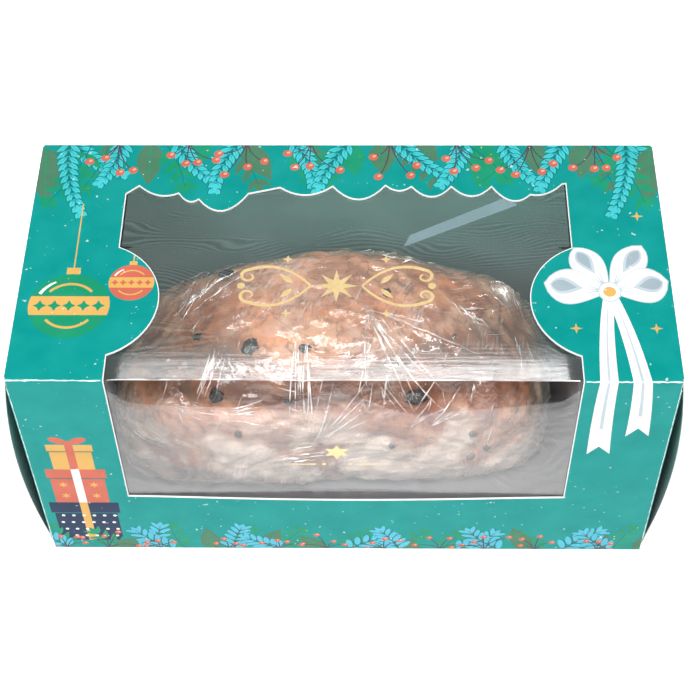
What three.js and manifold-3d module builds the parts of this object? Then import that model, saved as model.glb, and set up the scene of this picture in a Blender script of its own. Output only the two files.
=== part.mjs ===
// A fruit stollen in cling wrap, shut in a gift carton of thin folded card.
// One clear film window runs from the top panel over the front edge and down the front panel.
// Millimetres. +X runs along the carton, its front faces -Y and +Z is up.
// The origin is the middle of the base, on the surface that the carton stands on.

import Module from 'manifold-3d';
import * as THREE from 'three';
import { mergeVertices } from 'three/addons/utils/BufferGeometryUtils.js';

const wasm = await Module();
wasm.setup();

// Carton: a sleeve of four panels, and two end panels that bow out between hinge and tuck.
const WIDTH = 240;
const DEPTH = 116;
const HEIGHT = 118;
const CARD = 0.6;
const FOLD_RADIUS = 1.2; // outside of each lengthwise fold
const END_BOW = 5.8; // how far an end panel stands out at mid-height
const END_INSET = 1.4; // from the front and back planes to an end panel's free edges
const TUCK_HEIGHT = 3.6; // where an end panel turns in over the base
const TUCK_LENGTH = 16;
const DUST_FLAP_REACH = 38; // how far the front and back dust flaps reach behind an end panel
const DUST_FLAP_TAPER = 7;
const DUST_FLAP_BOTTOM = 8;
const DUST_FLAP_TOP = HEIGHT - 6;
const FLUSH = 0.15; // how far a joined piece starts inside the face that it meets
const HINGE_SINK = 0.05; // and how far an end panel's outer face stays inside the sleeve's end

// Window: distances along the top panel are taken from its front edge.
const WINDOW_HALF_WIDTH = 85;
const TAB_CENTRE = { x: 95.6, fromFront: 36.8 }; // a round tab of card on each side
const TAB_RADIUS = 27.5;
const WINDOW_BACK_LEFT = 89.3;
const WINDOW_BACK_RIGHT = 94.8;
const WINDOW_SILL = 40.8; // height of the front panel's strip under the window
const PAST_FOLD = 2; // each panel's cut runs on past the front fold, to meet the other
const CUT_DEPTH = 4 * CARD;

// The scalloped back edge, from left to right: where each lobe ends, and how far it hangs.
const SCALLOPS = [
  { x: -80.3, fromFront: 93.4, hang: 0 },
  { x: -64.8, fromFront: 89.6, hang: 3.0 },
  { x: -56.8, fromFront: 86.4, hang: 2.6 },
  { x: -37.6, fromFront: 89.4, hang: 7.4 },
  { x: -25.6, fromFront: 92.6, hang: 0 },
  { x: -5.2, fromFront: 93.2, hang: 4.2 },
  { x: 15.3, fromFront: 93.7, hang: 7.0 },
  { x: 25.3, fromFront: 93.1, hang: 2.4 },
  { x: 40.8, fromFront: 93.1, hang: 5.2 },
  { x: 56.3, fromFront: 93.1, hang: 4.9 },
  { x: 71.2, fromFront: 89.1, hang: 5.2 },
  { x: 83.8, fromFront: 94.6, hang: 2.2 },
];

// Window film: one clear sheet held inside the card all round the window.
const FILM = 0.25;
const FILM_GAP = 0.3; // under the card
const FILM_MARGIN = 9; // past the window's straight sides
const FILM_BACK = 104;
const FILM_BOTTOM = 31;

// Stollen: a rounded loaf left of the middle, turned a little in the carton.
const LOAF_CENTRE = new THREE.Vector3(-6.8, 10.3, 15); // at the level where it is widest
const LOAF_TURN = THREE.MathUtils.degToRad(2.3); // its left end stands nearer to the window
const LOAF_HALF_LENGTH = 89.3;
const LOAF_HALF_WIDTH = 39.5;
const LOAF_TOP = 81.3;
const LOAF_FLOOR = CARD + 0.3;
const LOAF_SAG = 2; // the rounded base would reach this far under the floor, where it lies flat
const DOME_POWER = 3.3; // squareness of the cross-section above its widest level
const BASE_POWER = 3.8; // and below it
const TOP_END_POWER = 2.0; // squareness of the ends, seen along the crown
const BASE_END_POWER = 5.6; // and seen along the base
const LOAF_DETAIL = 15;

// Relief on the loaf, as a height and the lengths that its waves take in each direction.
const SWELL = { height: 0.9, along: 13, across: 11, up: 17, phase: 1.2 };
const CRAG = { height: 0.5, along: 3.1, across: 2.3, up: 2.7, slant: 4.9 };

// The lengthwise fold of the dough on the front slope: the level that its line wanders round,
// and how deep, wide and long it is.
const FOLD = {
  level: 58, wander: 3, wave: 28, depth: 2.2, spread: 5, halfLength: 0.8 * LOAF_HALF_LENGTH,
};

// Raisins that stand out of the crust, each by its bearing from the loaf's middle, which is how
// far it leans along the loaf and its degrees up from the front, and by its size.
const RAISINS = [
  [24, 52, 1.15], [-34, 56, 1.05], [-20, 72, 0.9], [-38, 80, 0.65], [-6, 70, 0.6], [52, 30, 0.55],
  [62, 18, 0.5], [22, 24, 0.5], [56, 10, 0.55], [-12, 52, 0.55], [-32, 36, 0.5], [64, 96, 0.7],
  [34, 76, 0.5], [14, 92, 0.55], [-28, 112, 0.9], [46, 108, 0.85], [-6, 130, 0.8], [32, 142, 0.9],
  [-70, 120, 0.7],
];
const RAISIN_RADII = new THREE.Vector3(4.6, 3.5, 2.4);
const RAISIN_TILT = 0.4; // how far a raisin near an end turns with the crust

const GOLDEN_ANGLE = Math.PI * (3 - Math.sqrt(5)); // turns each raisin its own way
const CURVE_STEPS = 10;
const CORNER_STEPS = 3;
const BOW_STEPS = 14;
const TURN_STEPS = 4;

const card = new THREE.MeshStandardMaterial({ name: 'card', color: 0x0aa79b, roughness: 0.45 });
const clearFilm = new THREE.MeshStandardMaterial({
  name: 'clear_film', color: 0xdfe8e6, roughness: 0.08, transparent: true, opacity: 0.25,
});
const crust = new THREE.MeshStandardMaterial({ name: 'crust', color: 0xb27a55, roughness: 0.6 });

// Solids and their cuts

function solidOf(geometry) {
  geometry.deleteAttribute('normal');
  geometry.deleteAttribute('uv');
  const merged = mergeVertices(geometry, 1e-4);
  return new wasm.Manifold(new wasm.Mesh({
    numProp: 3,
    vertProperties: new Float32Array(merged.attributes.position.array),
    triVerts: new Uint32Array(merged.index.array),
  }));
}

function geometryOf(solid) {
  const { vertProperties, triVerts } = solid.getMesh();
  const geometry = new THREE.BufferGeometry();
  geometry.setAttribute('position', new THREE.BufferAttribute(vertProperties, 3));
  geometry.setIndex(new THREE.BufferAttribute(triVerts, 1));
  geometry.computeVertexNormals();
  return geometry;
}

function extrude(shape, length, basis) {
  const geometry = new THREE.ExtrudeGeometry(shape, {
    depth: length,
    bevelEnabled: false,
    curveSegments: CURVE_STEPS,
  });
  geometry.translate(0, 0, -length / 2);
  return geometry.applyMatrix4(basis);
}

const X = new THREE.Vector3(1, 0, 0);
const Y = new THREE.Vector3(0, 1, 0);
const Z = new THREE.Vector3(0, 0, 1);
const ALONG_X = new THREE.Matrix4().makeBasis(Y, Z, X); // a shape in Y and Z
const ALONG_Y = new THREE.Matrix4().makeBasis(X, Z, Y.clone().negate()); // in X and Z
const ALONG_Z = new THREE.Matrix4(); // in X and Y

// The outline of a thin strip of even thickness, whose outer face follows the points.
function stripShape(points, thickness) {
  const inner = points.map((point, i) => {
    const before = point.clone().sub(points[Math.max(i - 1, 0)]).normalize();
    const after = points[Math.min(i + 1, points.length - 1)].clone().sub(point).normalize();
    const along = before.clone().add(after).normalize();
    const mitre = thickness / along.dot(i > 0 ? before : after);
    return new THREE.Vector2(-along.y, along.x).multiplyScalar(mitre).add(point);
  });
  return new THREE.Shape([...points, ...inner.reverse()]);
}

// Points on a circle's arc, from one angle to another in degrees.
function arcPoints(x, y, radius, from, to, steps) {
  return Array.from({ length: steps + 1 }, (_, i) => {
    const angle = THREE.MathUtils.degToRad(from + ((to - from) * i) / steps);
    return new THREE.Vector2(x + radius * Math.cos(angle), y + radius * Math.sin(angle));
  });
}

// Carton

function roundedRectangle(halfWidth, bottom, top, radius) {
  return [
    ...arcPoints(halfWidth - radius, bottom + radius, radius, -90, 0, CORNER_STEPS),
    ...arcPoints(halfWidth - radius, top - radius, radius, 0, 90, CORNER_STEPS),
    ...arcPoints(radius - halfWidth, top - radius, radius, 90, 180, CORNER_STEPS),
    ...arcPoints(radius - halfWidth, bottom + radius, radius, 180, 270, CORNER_STEPS),
  ];
}

// The base, front, top and back panels, with open ends.
function sleeve() {
  const shape = new THREE.Shape(roundedRectangle(DEPTH / 2, 0, HEIGHT, FOLD_RADIUS));
  const inside = roundedRectangle(DEPTH / 2 - CARD, CARD, HEIGHT - CARD, FOLD_RADIUS - CARD);
  shape.holes.push(new THREE.Path(inside));
  return solidOf(extrude(shape, WIDTH, ALONG_X));
}

// An end panel: hinged on the top panel, bowed outwards, and tucked in over the base.
function endPanel(side) {
  const hinge = HEIGHT - FLUSH;
  const edgeX = WIDTH / 2 - HINGE_SINK;
  const chord = hinge - TUCK_HEIGHT;
  const radius = ((chord / 2) ** 2 + END_BOW ** 2) / (2 * END_BOW);
  const lean = Math.asin(chord / 2 / radius);
  const half = THREE.MathUtils.radToDeg(lean);
  const bow = arcPoints(edgeX + END_BOW - radius, hinge - chord / 2, radius, half, -half, BOW_STEPS);
  const turn = (TUCK_HEIGHT - CARD / 2) / (1 - Math.sin(lean));
  const turnX = edgeX - turn * Math.cos(lean);
  const tuck = arcPoints(turnX, CARD / 2 + turn, turn, -half, -90, TURN_STEPS).slice(1);
  const lip = new THREE.Vector2(edgeX - TUCK_LENGTH, CARD / 2);
  const profile = [...bow, ...tuck, lip].map((point) => new THREE.Vector2(side * point.x, point.y));
  const shape = stripShape(profile, -side * CARD);
  return solidOf(extrude(shape, DEPTH - 2 * END_INSET, ALONG_Y));
}

// A dust flap: it folds in from the front (face -1) or back (face 1) panel, behind an end panel.
function dustFlap(side, face) {
  const hinge = face * (DEPTH / 2 - FLUSH);
  const tip = face * (DEPTH / 2 - DUST_FLAP_REACH);
  const outline = [
    new THREE.Vector2(hinge, DUST_FLAP_BOTTOM),
    new THREE.Vector2(tip, DUST_FLAP_BOTTOM + DUST_FLAP_TAPER),
    new THREE.Vector2(tip, DUST_FLAP_TOP - DUST_FLAP_TAPER),
    new THREE.Vector2(hinge, DUST_FLAP_TOP),
  ];
  const flap = extrude(new THREE.Shape(outline), CARD, ALONG_X);
  flap.translate(side * (WIDTH / 2 - CARD / 2 - FLUSH), 0, 0);
  return solidOf(flap);
}

const topPanelY = (fromFront) => fromFront - DEPTH / 2;

// The window's outline on the top panel, run on past the front fold.
function topWindowShape() {
  const pastFold = topPanelY(-PAST_FOLD);
  const reach = Math.acos((TAB_CENTRE.x - WINDOW_HALF_WIDTH) / TAB_RADIUS);
  const tabY = topPanelY(TAB_CENTRE.fromFront);
  const shape = new THREE.Shape();
  shape.moveTo(-WINDOW_HALF_WIDTH, pastFold);
  shape.lineTo(-WINDOW_HALF_WIDTH, tabY - TAB_RADIUS * Math.sin(reach));
  shape.absarc(-TAB_CENTRE.x, tabY, TAB_RADIUS, -reach, reach, false);
  let from = new THREE.Vector2(-WINDOW_HALF_WIDTH, topPanelY(WINDOW_BACK_LEFT));
  shape.lineTo(from.x, from.y);
  for (const lobe of SCALLOPS) {
    const to = new THREE.Vector2(lobe.x, topPanelY(lobe.fromFront));
    const control = from.clone().add(to).multiplyScalar(0.5);
    control.y -= 2 * lobe.hang;
    shape.quadraticCurveTo(control.x, control.y, to.x, to.y);
    from = to;
  }
  shape.lineTo(WINDOW_HALF_WIDTH, topPanelY(WINDOW_BACK_RIGHT));
  shape.absarc(TAB_CENTRE.x, tabY, TAB_RADIUS, Math.PI - reach, Math.PI + reach, false);
  shape.lineTo(WINDOW_HALF_WIDTH, pastFold);
  return shape;
}

function frontWindowShape() {
  return new THREE.Shape([
    new THREE.Vector2(-WINDOW_HALF_WIDTH, WINDOW_SILL),
    new THREE.Vector2(WINDOW_HALF_WIDTH, WINDOW_SILL),
    new THREE.Vector2(WINDOW_HALF_WIDTH, HEIGHT + PAST_FOLD),
    new THREE.Vector2(-WINDOW_HALF_WIDTH, HEIGHT + PAST_FOLD),
  ]);
}

function carton() {
  let solid = sleeve();
  for (const side of [-1, 1]) {
    solid = solid.add(endPanel(side));
    solid = solid.add(dustFlap(side, -1));
    solid = solid.add(dustFlap(side, 1));
  }
  const topCut = extrude(topWindowShape(), CUT_DEPTH, ALONG_Z).translate(0, 0, HEIGHT);
  const frontCut = extrude(frontWindowShape(), CUT_DEPTH, ALONG_Y).translate(0, -DEPTH / 2, 0);
  return geometryOf(solid.subtract(solidOf(topCut)).subtract(solidOf(frontCut)));
}

// Window film, folded over inside the front edge

function windowFilm() {
  const front = CARD + FILM_GAP - DEPTH / 2;
  const top = HEIGHT - CARD - FILM_GAP;
  const outline = [
    new THREE.Vector2(front, FILM_BOTTOM),
    ...arcPoints(front + FOLD_RADIUS, top - FOLD_RADIUS, FOLD_RADIUS, 180, 90, TURN_STEPS),
    new THREE.Vector2(topPanelY(FILM_BACK), top),
  ];
  const width = 2 * (WINDOW_HALF_WIDTH + FILM_MARGIN);
  const sheet = extrude(stripShape(outline, -FILM), width, ALONG_X);
  return geometryOf(solidOf(sheet));
}

// Stollen

// Height above the widest level, as a share of the dome or of the part below.
function levelShare(z) {
  return z > 0 ? z / (LOAF_TOP - LOAF_CENTRE.z) : z / (LOAF_CENTRE.z - LOAF_FLOOR + LOAF_SAG);
}

// How much a point, measured from the loaf's centre, has to grow to reach the smooth loaf.
function growToLoaf(point) {
  const power = point.z > 0 ? DOME_POWER : BASE_POWER;
  const lift = THREE.MathUtils.smoothstep(point.z, 0, LOAF_HALF_WIDTH);
  const endPower = THREE.MathUtils.lerp(BASE_END_POWER, TOP_END_POWER, lift);
  const across = Math.abs(point.y / LOAF_HALF_WIDTH) ** power;
  const upright = Math.abs(levelShare(point.z)) ** power;
  const along = Math.abs(point.x / LOAF_HALF_LENGTH) ** endPower;
  return ((across + upright) ** (endPower / power) + along) ** (-1 / endPower);
}

// The swells, crags and fold of the crust, as a shift along its normal.
function relief({ x, y, z }) {
  const swell = Math.sin(x / SWELL.along + SWELL.phase) * Math.cos(y / SWELL.across + z / SWELL.up);
  const crag = Math.sin(x / CRAG.along + y / CRAG.across) * Math.sin(z / CRAG.up - x / CRAG.slant);
  const foldLine = FOLD.level - LOAF_CENTRE.z + FOLD.wander * Math.sin(x / FOLD.wave);
  const fromFold = (z - foldLine) / FOLD.spread;
  const onFront = y < 0 ? 1 : 0;
  const alongFold = Math.max(1 - (x / FOLD.halfLength) ** 2, 0);
  const fold = onFront * alongFold * Math.exp(-fromFold * fromFold);
  return SWELL.height * swell + CRAG.height * crag - FOLD.depth * fold;
}

function loafSurface(direction) {
  const point = direction.clone().multiplyScalar(growToLoaf(direction));
  const flatten = (LOAF_HALF_WIDTH / LOAF_HALF_LENGTH) ** 2;
  const outward = point.clone().multiply(new THREE.Vector3(flatten, 1, 1)).normalize();
  point.addScaledVector(outward, relief(point)).applyAxisAngle(Z, LOAF_TURN).add(LOAF_CENTRE);
  point.z = Math.max(point.z, LOAF_FLOOR);
  return point;
}

function bareLoaf() {
  const ball = new THREE.IcosahedronGeometry(1, LOAF_DETAIL);
  ball.scale(LOAF_HALF_LENGTH, LOAF_HALF_WIDTH, LOAF_HALF_WIDTH);
  const position = ball.attributes.position;
  for (let i = 0; i < position.count; i += 1) {
    const point = loafSurface(new THREE.Vector3().fromBufferAttribute(position, i));
    position.setXYZ(i, point.x, point.y, point.z);
  }
  return solidOf(ball);
}

// A raisin lies half sunk, flat to the crust.
function raisin(lean, degrees, size, turn) {
  const angle = THREE.MathUtils.degToRad(degrees);
  const bearing = new THREE.Vector3(
    lean, -LOAF_HALF_WIDTH * Math.cos(angle), LOAF_HALF_WIDTH * Math.sin(angle));
  const place = loafSurface(bearing);
  const outward = bearing.clone().multiply(new THREE.Vector3(RAISIN_TILT, 1, 1)).normalize();
  const grape = new THREE.IcosahedronGeometry(size, 1);
  grape.scale(...RAISIN_RADII.toArray());
  grape.rotateZ(turn);
  grape.applyQuaternion(new THREE.Quaternion().setFromUnitVectors(Z, outward));
  grape.translate(place.x, place.y, place.z);
  return solidOf(grape);
}

function stollen() {
  let solid = bareLoaf();
  RAISINS.forEach(([lean, degrees, size], i) => {
    solid = solid.add(raisin(lean, degrees, size, i * GOLDEN_ANGLE));
  });
  return geometryOf(solid);
}

function namedMesh(name, geometry, material) {
  const mesh = new THREE.Mesh(geometry, material);
  mesh.name = name;
  return mesh;
}

const pack = new THREE.Group();
pack.add(namedMesh('carton', carton(), card));
pack.add(namedMesh('window_film', windowFilm(), clearFilm));
pack.add(namedMesh('stollen', stollen(), crust));

export default pack;
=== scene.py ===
"""A fruit stollen in cling wrap, shut in a gift carton of thin folded card.

Shapes are worked out in millimetres, in the frame's axes (+X along the carton, its front
towards -Y, +Z up), and written to the meshes in metres.
"""

import cmath
import math
import random

import bpy
from mathutils import Euler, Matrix, Quaternion, Vector, geometry, noise


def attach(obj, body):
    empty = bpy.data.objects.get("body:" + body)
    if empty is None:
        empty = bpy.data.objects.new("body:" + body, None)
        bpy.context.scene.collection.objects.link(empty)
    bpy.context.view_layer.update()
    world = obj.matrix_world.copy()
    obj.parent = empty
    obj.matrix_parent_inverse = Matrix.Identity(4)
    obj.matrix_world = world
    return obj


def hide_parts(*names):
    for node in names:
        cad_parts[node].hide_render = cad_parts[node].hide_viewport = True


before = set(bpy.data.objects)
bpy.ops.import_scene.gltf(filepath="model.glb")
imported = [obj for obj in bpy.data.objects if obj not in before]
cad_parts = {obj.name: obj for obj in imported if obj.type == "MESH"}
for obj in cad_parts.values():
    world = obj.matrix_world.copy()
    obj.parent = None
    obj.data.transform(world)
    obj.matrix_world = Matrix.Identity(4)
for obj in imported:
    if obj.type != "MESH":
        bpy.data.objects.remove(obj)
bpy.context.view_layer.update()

MM = 0.001
BODY = "root"

# Carton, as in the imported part.
WIDTH = 240
DEPTH = 116
HEIGHT = 118
CARD = 0.6
FOLD_RADIUS = 1.2
END_BOW = 5.8
END_INSET = 1.4
TUCK_HEIGHT = 3.6
TUCK_LENGTH = 16
TUCK_CORNER = 5
DUST_FLAP_REACH = 38
DUST_FLAP_TAPER = 7
DUST_FLAP_BOTTOM = 8
DUST_FLAP_TOP = HEIGHT - 6
HINGE_RADIUS = 0.6
LIP_LEVEL = 0.9  # the tuck lip rests on the base panel
STRIP_BOW = 1.5  # how far the strip under the window stands out

# Window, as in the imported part.
WINDOW_HALF_WIDTH = 85
TAB_X = 95.6
TAB_FROM_FRONT = 36.8
TAB_RADIUS = 27.5
WINDOW_BACK_LEFT = 89.3
WINDOW_BACK_RIGHT = 94.8
WINDOW_SILL = 40.8
SCALLOPS = (
    (-80.3, 93.4, 0), (-64.8, 89.6, 3.0), (-56.8, 86.4, 2.6), (-37.6, 89.4, 7.4),
    (-25.6, 92.6, 0), (-5.2, 93.2, 4.2), (15.3, 93.7, 7.0), (25.3, 93.1, 2.4),
    (40.8, 93.1, 5.2), (56.3, 93.1, 4.9), (71.2, 89.1, 5.2), (83.8, 94.6, 2.2),
)  # where each lobe ends, along and from the front, and how far it hangs
WHITE_RIM = 0.35  # bare board crushed out round the window's cut edge

# Film
FILM_GAP = 0.3
FILM_MARGIN = 9
FILM_BACK = 104
FILM_BOTTOM = 31
FILM_PULL = 5.5  # how far the film's crease cuts the corner between its glued ends
FILM_DROP = 7.4
FILM_PULL_END = 6  # how far in from its glued ends the film is fully pulled
FILM_BEND_TOP = 27  # how far behind the crease the film starts to bend
FILM_BEND_FRONT = 14
FILM_BAND = (
    (-90, 5), (-75, 9), (-60, 10.2), (-32, 10.5), (-15, 7), (-3, 3.5), (9, 7), (20, 13),
    (28, 15), (42, 12), (60, 10), (78, 7.5), (90, 4),
)  # along, and how far below the crease the bent film still mirrors nothing bright

# Loaf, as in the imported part.
LOAF_CENTRE = Vector((-6.8, 10.3, 15))
LOAF_TURN = math.radians(2.3)
LOAF_HALF_LENGTH = 89.3
LOAF_HALF_WIDTH = 39.5
LOAF_TOP = 81.3
LOAF_FLOOR = CARD + 0.3
DOME_POWER = 3.3
BASE_POWER = 3.8
TOP_END_POWER = 2.0
BASE_END_POWER = 5.6
FOLD_LEVEL = 58
FOLD_DEPTH = 2.2
FOLD_SPREAD = 5
DARK_LEVEL = 65  # the crust over the fold, darker partly as painted shade
SWELL = 0.9
CRAG = 0.5
LOAF_SUBDIVISIONS = 7
RAISINS = (
    (24, 52, 1.15), (-34, 56, 1.05), (-20, 72, 0.9), (-38, 80, 0.65), (-6, 70, 0.6), (52, 30, 0.55),
    (62, 18, 0.5), (22, 24, 0.5), (56, 10, 0.55), (-12, 52, 0.55), (-32, 36, 0.5), (64, 96, 0.7),
    (34, 76, 0.5), (14, 92, 0.55), (-28, 112, 0.9), (46, 108, 0.85), (-6, 130, 0.8), (32, 142, 0.9),
    (-70, 120, 0.7),
)  # how far each leans along the loaf, its degrees up from the front, and its size
RAISIN_RADII = Vector((4.6, 3.5, 2.4))
GOLDEN_ANGLE = math.pi * (3 - math.sqrt(5))

# Cling wrap
WRAP_GAP = 0.5
RAISIN_TENT = 2.6  # how far the wrap stands up over a raisin
RAISIN_TENT_SPREAD = 6.5
OVER_RAISIN = "over_raisin"
TUFT = 70 + 103j
TUFT_HEIGHT = 6
TUFT_REACH = 11
SHEAVES = (
    (14 + 84j, 1.5, -50, 90, 12, 48), (-9 + 25j, 2, 58, 64, 10, 44), (-9 + 72j, 6, -93, 10, 9, 44),
    (-45 + 70j, 4, -100, 50, 9, 20), (-66 + 52j, 5, -18, 36, 6, 28), (-84 + 38j, 5, -48, 24, 4, 22),
    (76 + 78j, 9, -88, 24, 9, 15), (56 + 57j, 5, -85, 30, 4, 9), (66 + 104j, 6, -30, 60, 10, 22),
    (52 + 89j, 6, -20, 70, 7, 15), (-40 + 46j, 4, 20, 70, 7, 20), (34 + 40j, 7, 50, 60, 9, 24),
    (-60 + 98j, 8, 35, 40, 9, 28), (16 + 58j, 8, -80, 60, 8, 16), (-24 + 14j, 9, 12, 30, 7, 30),
    (20 + 112j, 9, 40, 90, 8, 30), (-30 + 128j, 12, 120, 120, 8, 34), (60 + 20j, 8, 100, 60, 7, 20),
)  # creases: start on the unrolled wrap, scatter, heading, spread, number and greatest length
LOOSE_CREASES = 130
CREASE_STEP = 1.3

# Colours, linear
TEAL = (0.0, 0.2, 0.182)
DEEP = (0.002, 0.12, 0.12)
CYAN = (0.04, 0.38, 0.4)
AQUA = (0.016, 0.265, 0.3)
SKY = (0.065, 0.34, 0.44)
OLIVE = (0.05, 0.137, 0.08)
GREEN = (0.006, 0.2, 0.1)
CORAL = (0.42, 0.1, 0.065)
BLUSH = (0.58, 0.29, 0.21)
STEM = (0.05, 0.035, 0.05)
GOLD = (0.5, 0.29, 0.08)
WHITE = (0.62, 0.62, 0.61)
PALE = (0.36, 0.41, 0.44)
MIST = (0.24, 0.3, 0.33)
NAVY = (0.01, 0.025, 0.06)
BOARD = (0.165, 0.158, 0.17)
BOARD_PAINTED_TEAL_LIGHT = (0.145, 0.35, 0.315)  # painted light: towards the top, the board inside takes the teal tint of the light that the print throws in
CRUST_DARK = (0.3, 0.085, 0.033)
CRUST_ORANGE = (0.7, 0.245, 0.082)
CRUST_PALE = (0.75, 0.43, 0.27)
CRUST_FOLD_AND_PAINTED_SHADE = (0.09, 0.027, 0.012)  # over the dough's fold, where it is granular and dark, and darkened further as painted shade
CRUST_CRACK = (0.09, 0.03, 0.015)
# the cream patches low down, partly painted light
SUGAR_AND_PAINTED_LIGHT = (1.0, 0.88, 0.77)


# Small tools


def smooth(value, low, high):
    share = min(max((value - low) / (high - low), 0), 1)
    return share * share * (3 - 2 * share)


def blend(a, b, share):
    return a + (b - a) * share


def walk(place, heading, legs, distance):
    """Where a folded strip has got to, and its heading, a distance along it.

    Each leg is its length on the flat blank, how far it turns and the radius it turns on.
    """
    across, up = place
    for length, turn, radius in legs:
        share = min(max(distance / length, 0), 1)
        if turn:
            side = math.copysign(radius, turn)
            across += side * (math.sin(heading + share * turn) - math.sin(heading))
            up -= side * (math.cos(heading + share * turn) - math.cos(heading))
            heading += share * turn
        else:
            across += share * length * math.cos(heading)
            up += share * length * math.sin(heading)
        distance -= length
        if distance <= 0:
            break
    return across, up, heading


def piece(name, points, faces, materials, slot, *replaced):
    """A mesh object from points in millimetres, riding on the part."""
    mesh = bpy.data.meshes.new(name)
    mesh.from_pydata([Vector(point) * MM for point in points], [], faces)
    for material in materials:
        mesh.materials.append(material)
    mesh.shade_smooth()
    made = bpy.data.objects.new(name, mesh)
    bpy.context.scene.collection.objects.link(made)
    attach(made, BODY)
    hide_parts(*replaced)
    return made


# Materials


def new_material(name):
    material = bpy.data.materials.new(name)
    material.use_nodes = True
    material.node_tree.nodes.clear()
    return material


def node(material, kind, sockets, output=0, **settings):
    """Add a node, set or link its sockets, and return one of its outputs."""
    tree = material.node_tree
    made = tree.nodes.new("ShaderNode" + kind)
    for key, value in settings.items():
        setattr(made, key, value)
    for key, value in sockets.items():
        if isinstance(value, bpy.types.NodeSocket):
            tree.links.new(value, made.inputs[key])
        else:
            made.inputs[key].default_value = value
    return made.outputs[output] if made.outputs else made


def place_on_object(material, scale=(1, 1, 1)):
    """Object coordinates, stretched by a scale."""
    place = node(material, "TexCoord", {}, output="Object")
    return node(material, "Mapping", {"Vector": place, "Scale": scale})


def mottle(material, place, scale, detail=3.0, distortion=0.0):
    sockets = {"Vector": place, "Scale": scale, "Detail": detail, "Distortion": distortion}
    return node(material, "TexNoise", sockets)


def span(material, value, low, high, to_low=0.0, to_high=1.0):
    sockets = {0: value, 1: low, 2: high, 3: to_low, 4: to_high}
    return node(material, "MapRange", sockets)


def mix_colours(material, factor, first, second):
    sockets = {0: factor}
    for key, colour in ((6, first), (7, second)):
        sockets[key] = colour if isinstance(colour, bpy.types.NodeSocket) else (*colour, 1)
    return node(material, "Mix", sockets, output=2, data_type="RGBA")


def sums(material, operation, first, second):
    return node(material, "Math", {0: first, 1: second}, operation=operation)


def bump(material, height, distance, strength=1.0):
    sockets = {"Height": height, "Distance": distance * MM, "Strength": strength}
    return node(material, "Bump", sockets)


def finish_material(material, surface):
    node(material, "OutputMaterial", {"Surface": surface})
    return material


def ink(name, colour, rough=0.36):
    """Print on the card: an even colour, a little mottled and scuffed, over fine grain."""
    material = new_material(name)
    place = place_on_object(material)
    patches = span(material, mottle(material, place, 90, 4), 0.3, 0.7)
    grain = mottle(material, place, 2600, 2)
    dark = [channel * 0.93 for channel in colour]
    light = [min(channel * 1.06 + 0.004, 1) for channel in colour]
    even = mix_colours(material, patches, dark, light)
    scuffs = span(material, mottle(material, place, 520, 1), 0.75, 0.77, 0.0, 0.6)
    sockets = {
        "Base Color": mix_colours(material, scuffs, even, WHITE),
        "Roughness": span(material, grain, 0.2, 0.8, rough - 0.05, rough + 0.07),
        "Specular IOR Level": 0.08,
        "Normal": bump(material, grain, 0.02, 0.5),
    }
    return finish_material(material, node(material, "BsdfPrincipled", sockets))


def bare_board(name, low_colour, colour, rough):
    """Unprinted board, with short fibres that lie along the carton."""
    material = new_material(name)
    fibres = mottle(material, place_on_object(material, (0.3, 1, 1)), 1400, 4)
    clouds = mottle(material, place_on_object(material), 60, 3)
    tone = sums(material, "ADD", sums(material, "MULTIPLY", fibres, 0.5), clouds)
    height = node(material, "SeparateXYZ", {"Vector": place_on_object(material)}, output="Z")
    # painted light: the board turns from its low colour to its top colour with height; for the board
    # inside, this paints the teal light off the print
    even = mix_colours(material, span(material, height, 0.01, 0.08), low_colour, colour)
    worn = mix_colours(material, span(material, tone, 0.5, 1.0, 0.16, 0.0), even, (0.2, 0.2, 0.2))
    sockets = {
        "Base Color": worn,
        "Roughness": rough,
        "Normal": bump(material, fibres, 0.04, 0.5),
    }
    return finish_material(material, node(material, "BsdfPrincipled", sockets))


def foil(name):
    """Gold print on the film."""
    material = new_material(name)
    grain = mottle(material, place_on_object(material), 900, 2)
    shade = mix_colours(material, grain, (0.54, 0.37, 0.15), (0.76, 0.6, 0.32))
    sockets = {
        "Base Color": shade,
        "Metallic": 0.35,
        "Roughness": span(material, grain, 0.3, 0.7, 0.32, 0.44),
    }
    return finish_material(material, node(material, "BsdfPrincipled", sockets))


def clear_film(name, mirror, rough, haze, haze_colour, normal=None):
    """A clear sheet: it lets light through, mirrors more at a slant, and is a little hazy.

    mirror is how much it mirrors face on, and is a number or a socket's maker.
    """
    material = new_material(name)
    place = place_on_object(material)
    slant = node(material, "LayerWeight", {"Blend": 0.5}, output="Facing")
    steep = sums(material, "POWER", slant, 3.2)
    face_on = mirror(material) if callable(mirror) else mirror
    share = span(material, steep, 0, 1, face_on, 1.0)
    gloss_sockets = {"Color": (1, 1, 1, 1), "Roughness": rough}
    if normal:
        gloss_sockets["Normal"] = normal(material, place)
    gloss = node(material, "BsdfAnisotropic", gloss_sockets)
    clear = node(material, "BsdfTransparent", {"Color": (0.985, 0.99, 0.99, 1)})
    film = node(material, "MixShader", {0: share, 1: clear, 2: gloss})
    dust = node(material, "BsdfDiffuse", {"Color": (*haze_colour, 1)})
    surface = node(material, "MixShader", {0: haze(material, place), 1: film, 2: dust})
    return finish_material(material, surface)


# Print. A motif is a list of (ink, outline) layers, and a point is a complex number: along the
# carton, and up the blank from the front-top fold.


def curve(start, control, end, steps=8):
    shares = [i / steps for i in range(steps + 1)]
    return [(1 - t) ** 2 * start + 2 * t * (1 - t) * control + t * t * end for t in shares]


def ribbon(path, start_width, end_width):
    """The outline of a band along a path."""
    left, right = [], []
    for i, point in enumerate(path):
        ahead = path[min(i + 1, len(path) - 1)] - path[max(i - 1, 0)]
        width = blend(start_width, end_width, i / (len(path) - 1))
        across = 0.5j * width * ahead / abs(ahead)
        left.append(point + across)
        right.append(point - across)
    return right + left[::-1]


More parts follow.
